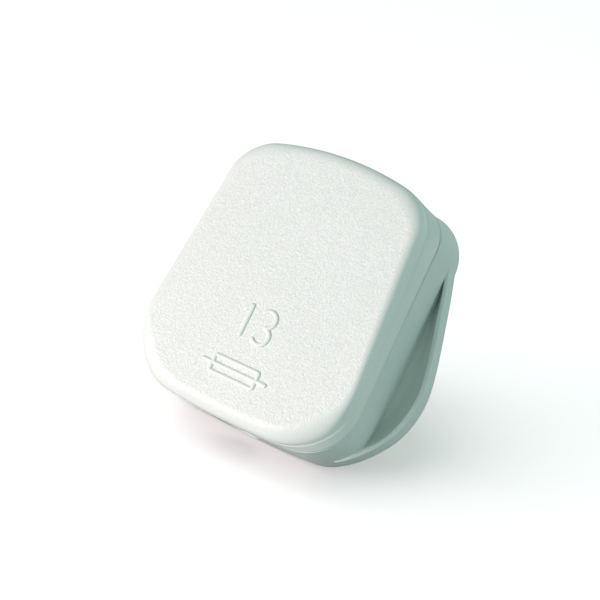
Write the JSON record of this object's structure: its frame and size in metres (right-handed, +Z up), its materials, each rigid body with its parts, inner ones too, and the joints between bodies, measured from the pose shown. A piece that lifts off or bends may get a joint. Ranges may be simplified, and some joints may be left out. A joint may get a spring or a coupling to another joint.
{
  "type": "fused plug top",
  "caption": "Rewireable three-pin fused mains plug with a tapered white cover, finger scoops beside the base, sleeved pins and a cord outlet.",
  "frame": {"origin": "middle of the bounding box's footprint, on the floor that the plug lies on", "axes": "+Z up; the plug lies on the cord end of its base and on two pin tips, with its cover towards -Y and up; +X is right as seen from the cover"},
  "size_m": [0.0504, 0.0526, 0.0479],
  "materials": {
    "white_moulding": "fine grain on the face, smooth satin walls",
    "pin_brass": "polished",
    "sleeve_black": "satin",
    "fuse_ceramic": "glazed",
    "fuse_cap": "plated",
    "clip_bronze": "satin",
    "terminal_brass": "satin",
    "screw_steel": "zinc plated",
    "grip_plastic": "matt",
    "washer_fibre": "matt"
  },
  "bodies": {
    "root": {"base_moulding": "white_moulding", "cover_moulding": "white_moulding", "live_pin": "pin_brass", "neutral_pin": "pin_brass", "earth_pin": "pin_brass", "live_pin_sleeve": "sleeve_black", "neutral_pin_sleeve": "sleeve_black", "fuse_tube": "fuse_ceramic", "fuse_cap_pin_end": "fuse_cap", "fuse_cap_load_end": "fuse_cap", "fuse_clip_pin_end": "clip_bronze", "fuse_clip_load_end": "clip_bronze", "live_terminal": "terminal_brass", "live_terminal_screw": "screw_steel", "neutral_terminal_screw": "screw_steel", "earth_terminal_screw": "screw_steel", "cord_grip_bar": "grip_plastic", "cord_grip_screw_left": "screw_steel", "cord_grip_screw_right": "screw_steel", "cover_screw": "screw_steel", "captive_washer": "washer_fibre", "cover_insert": "terminal_brass"}
  },
  "joints": []
}
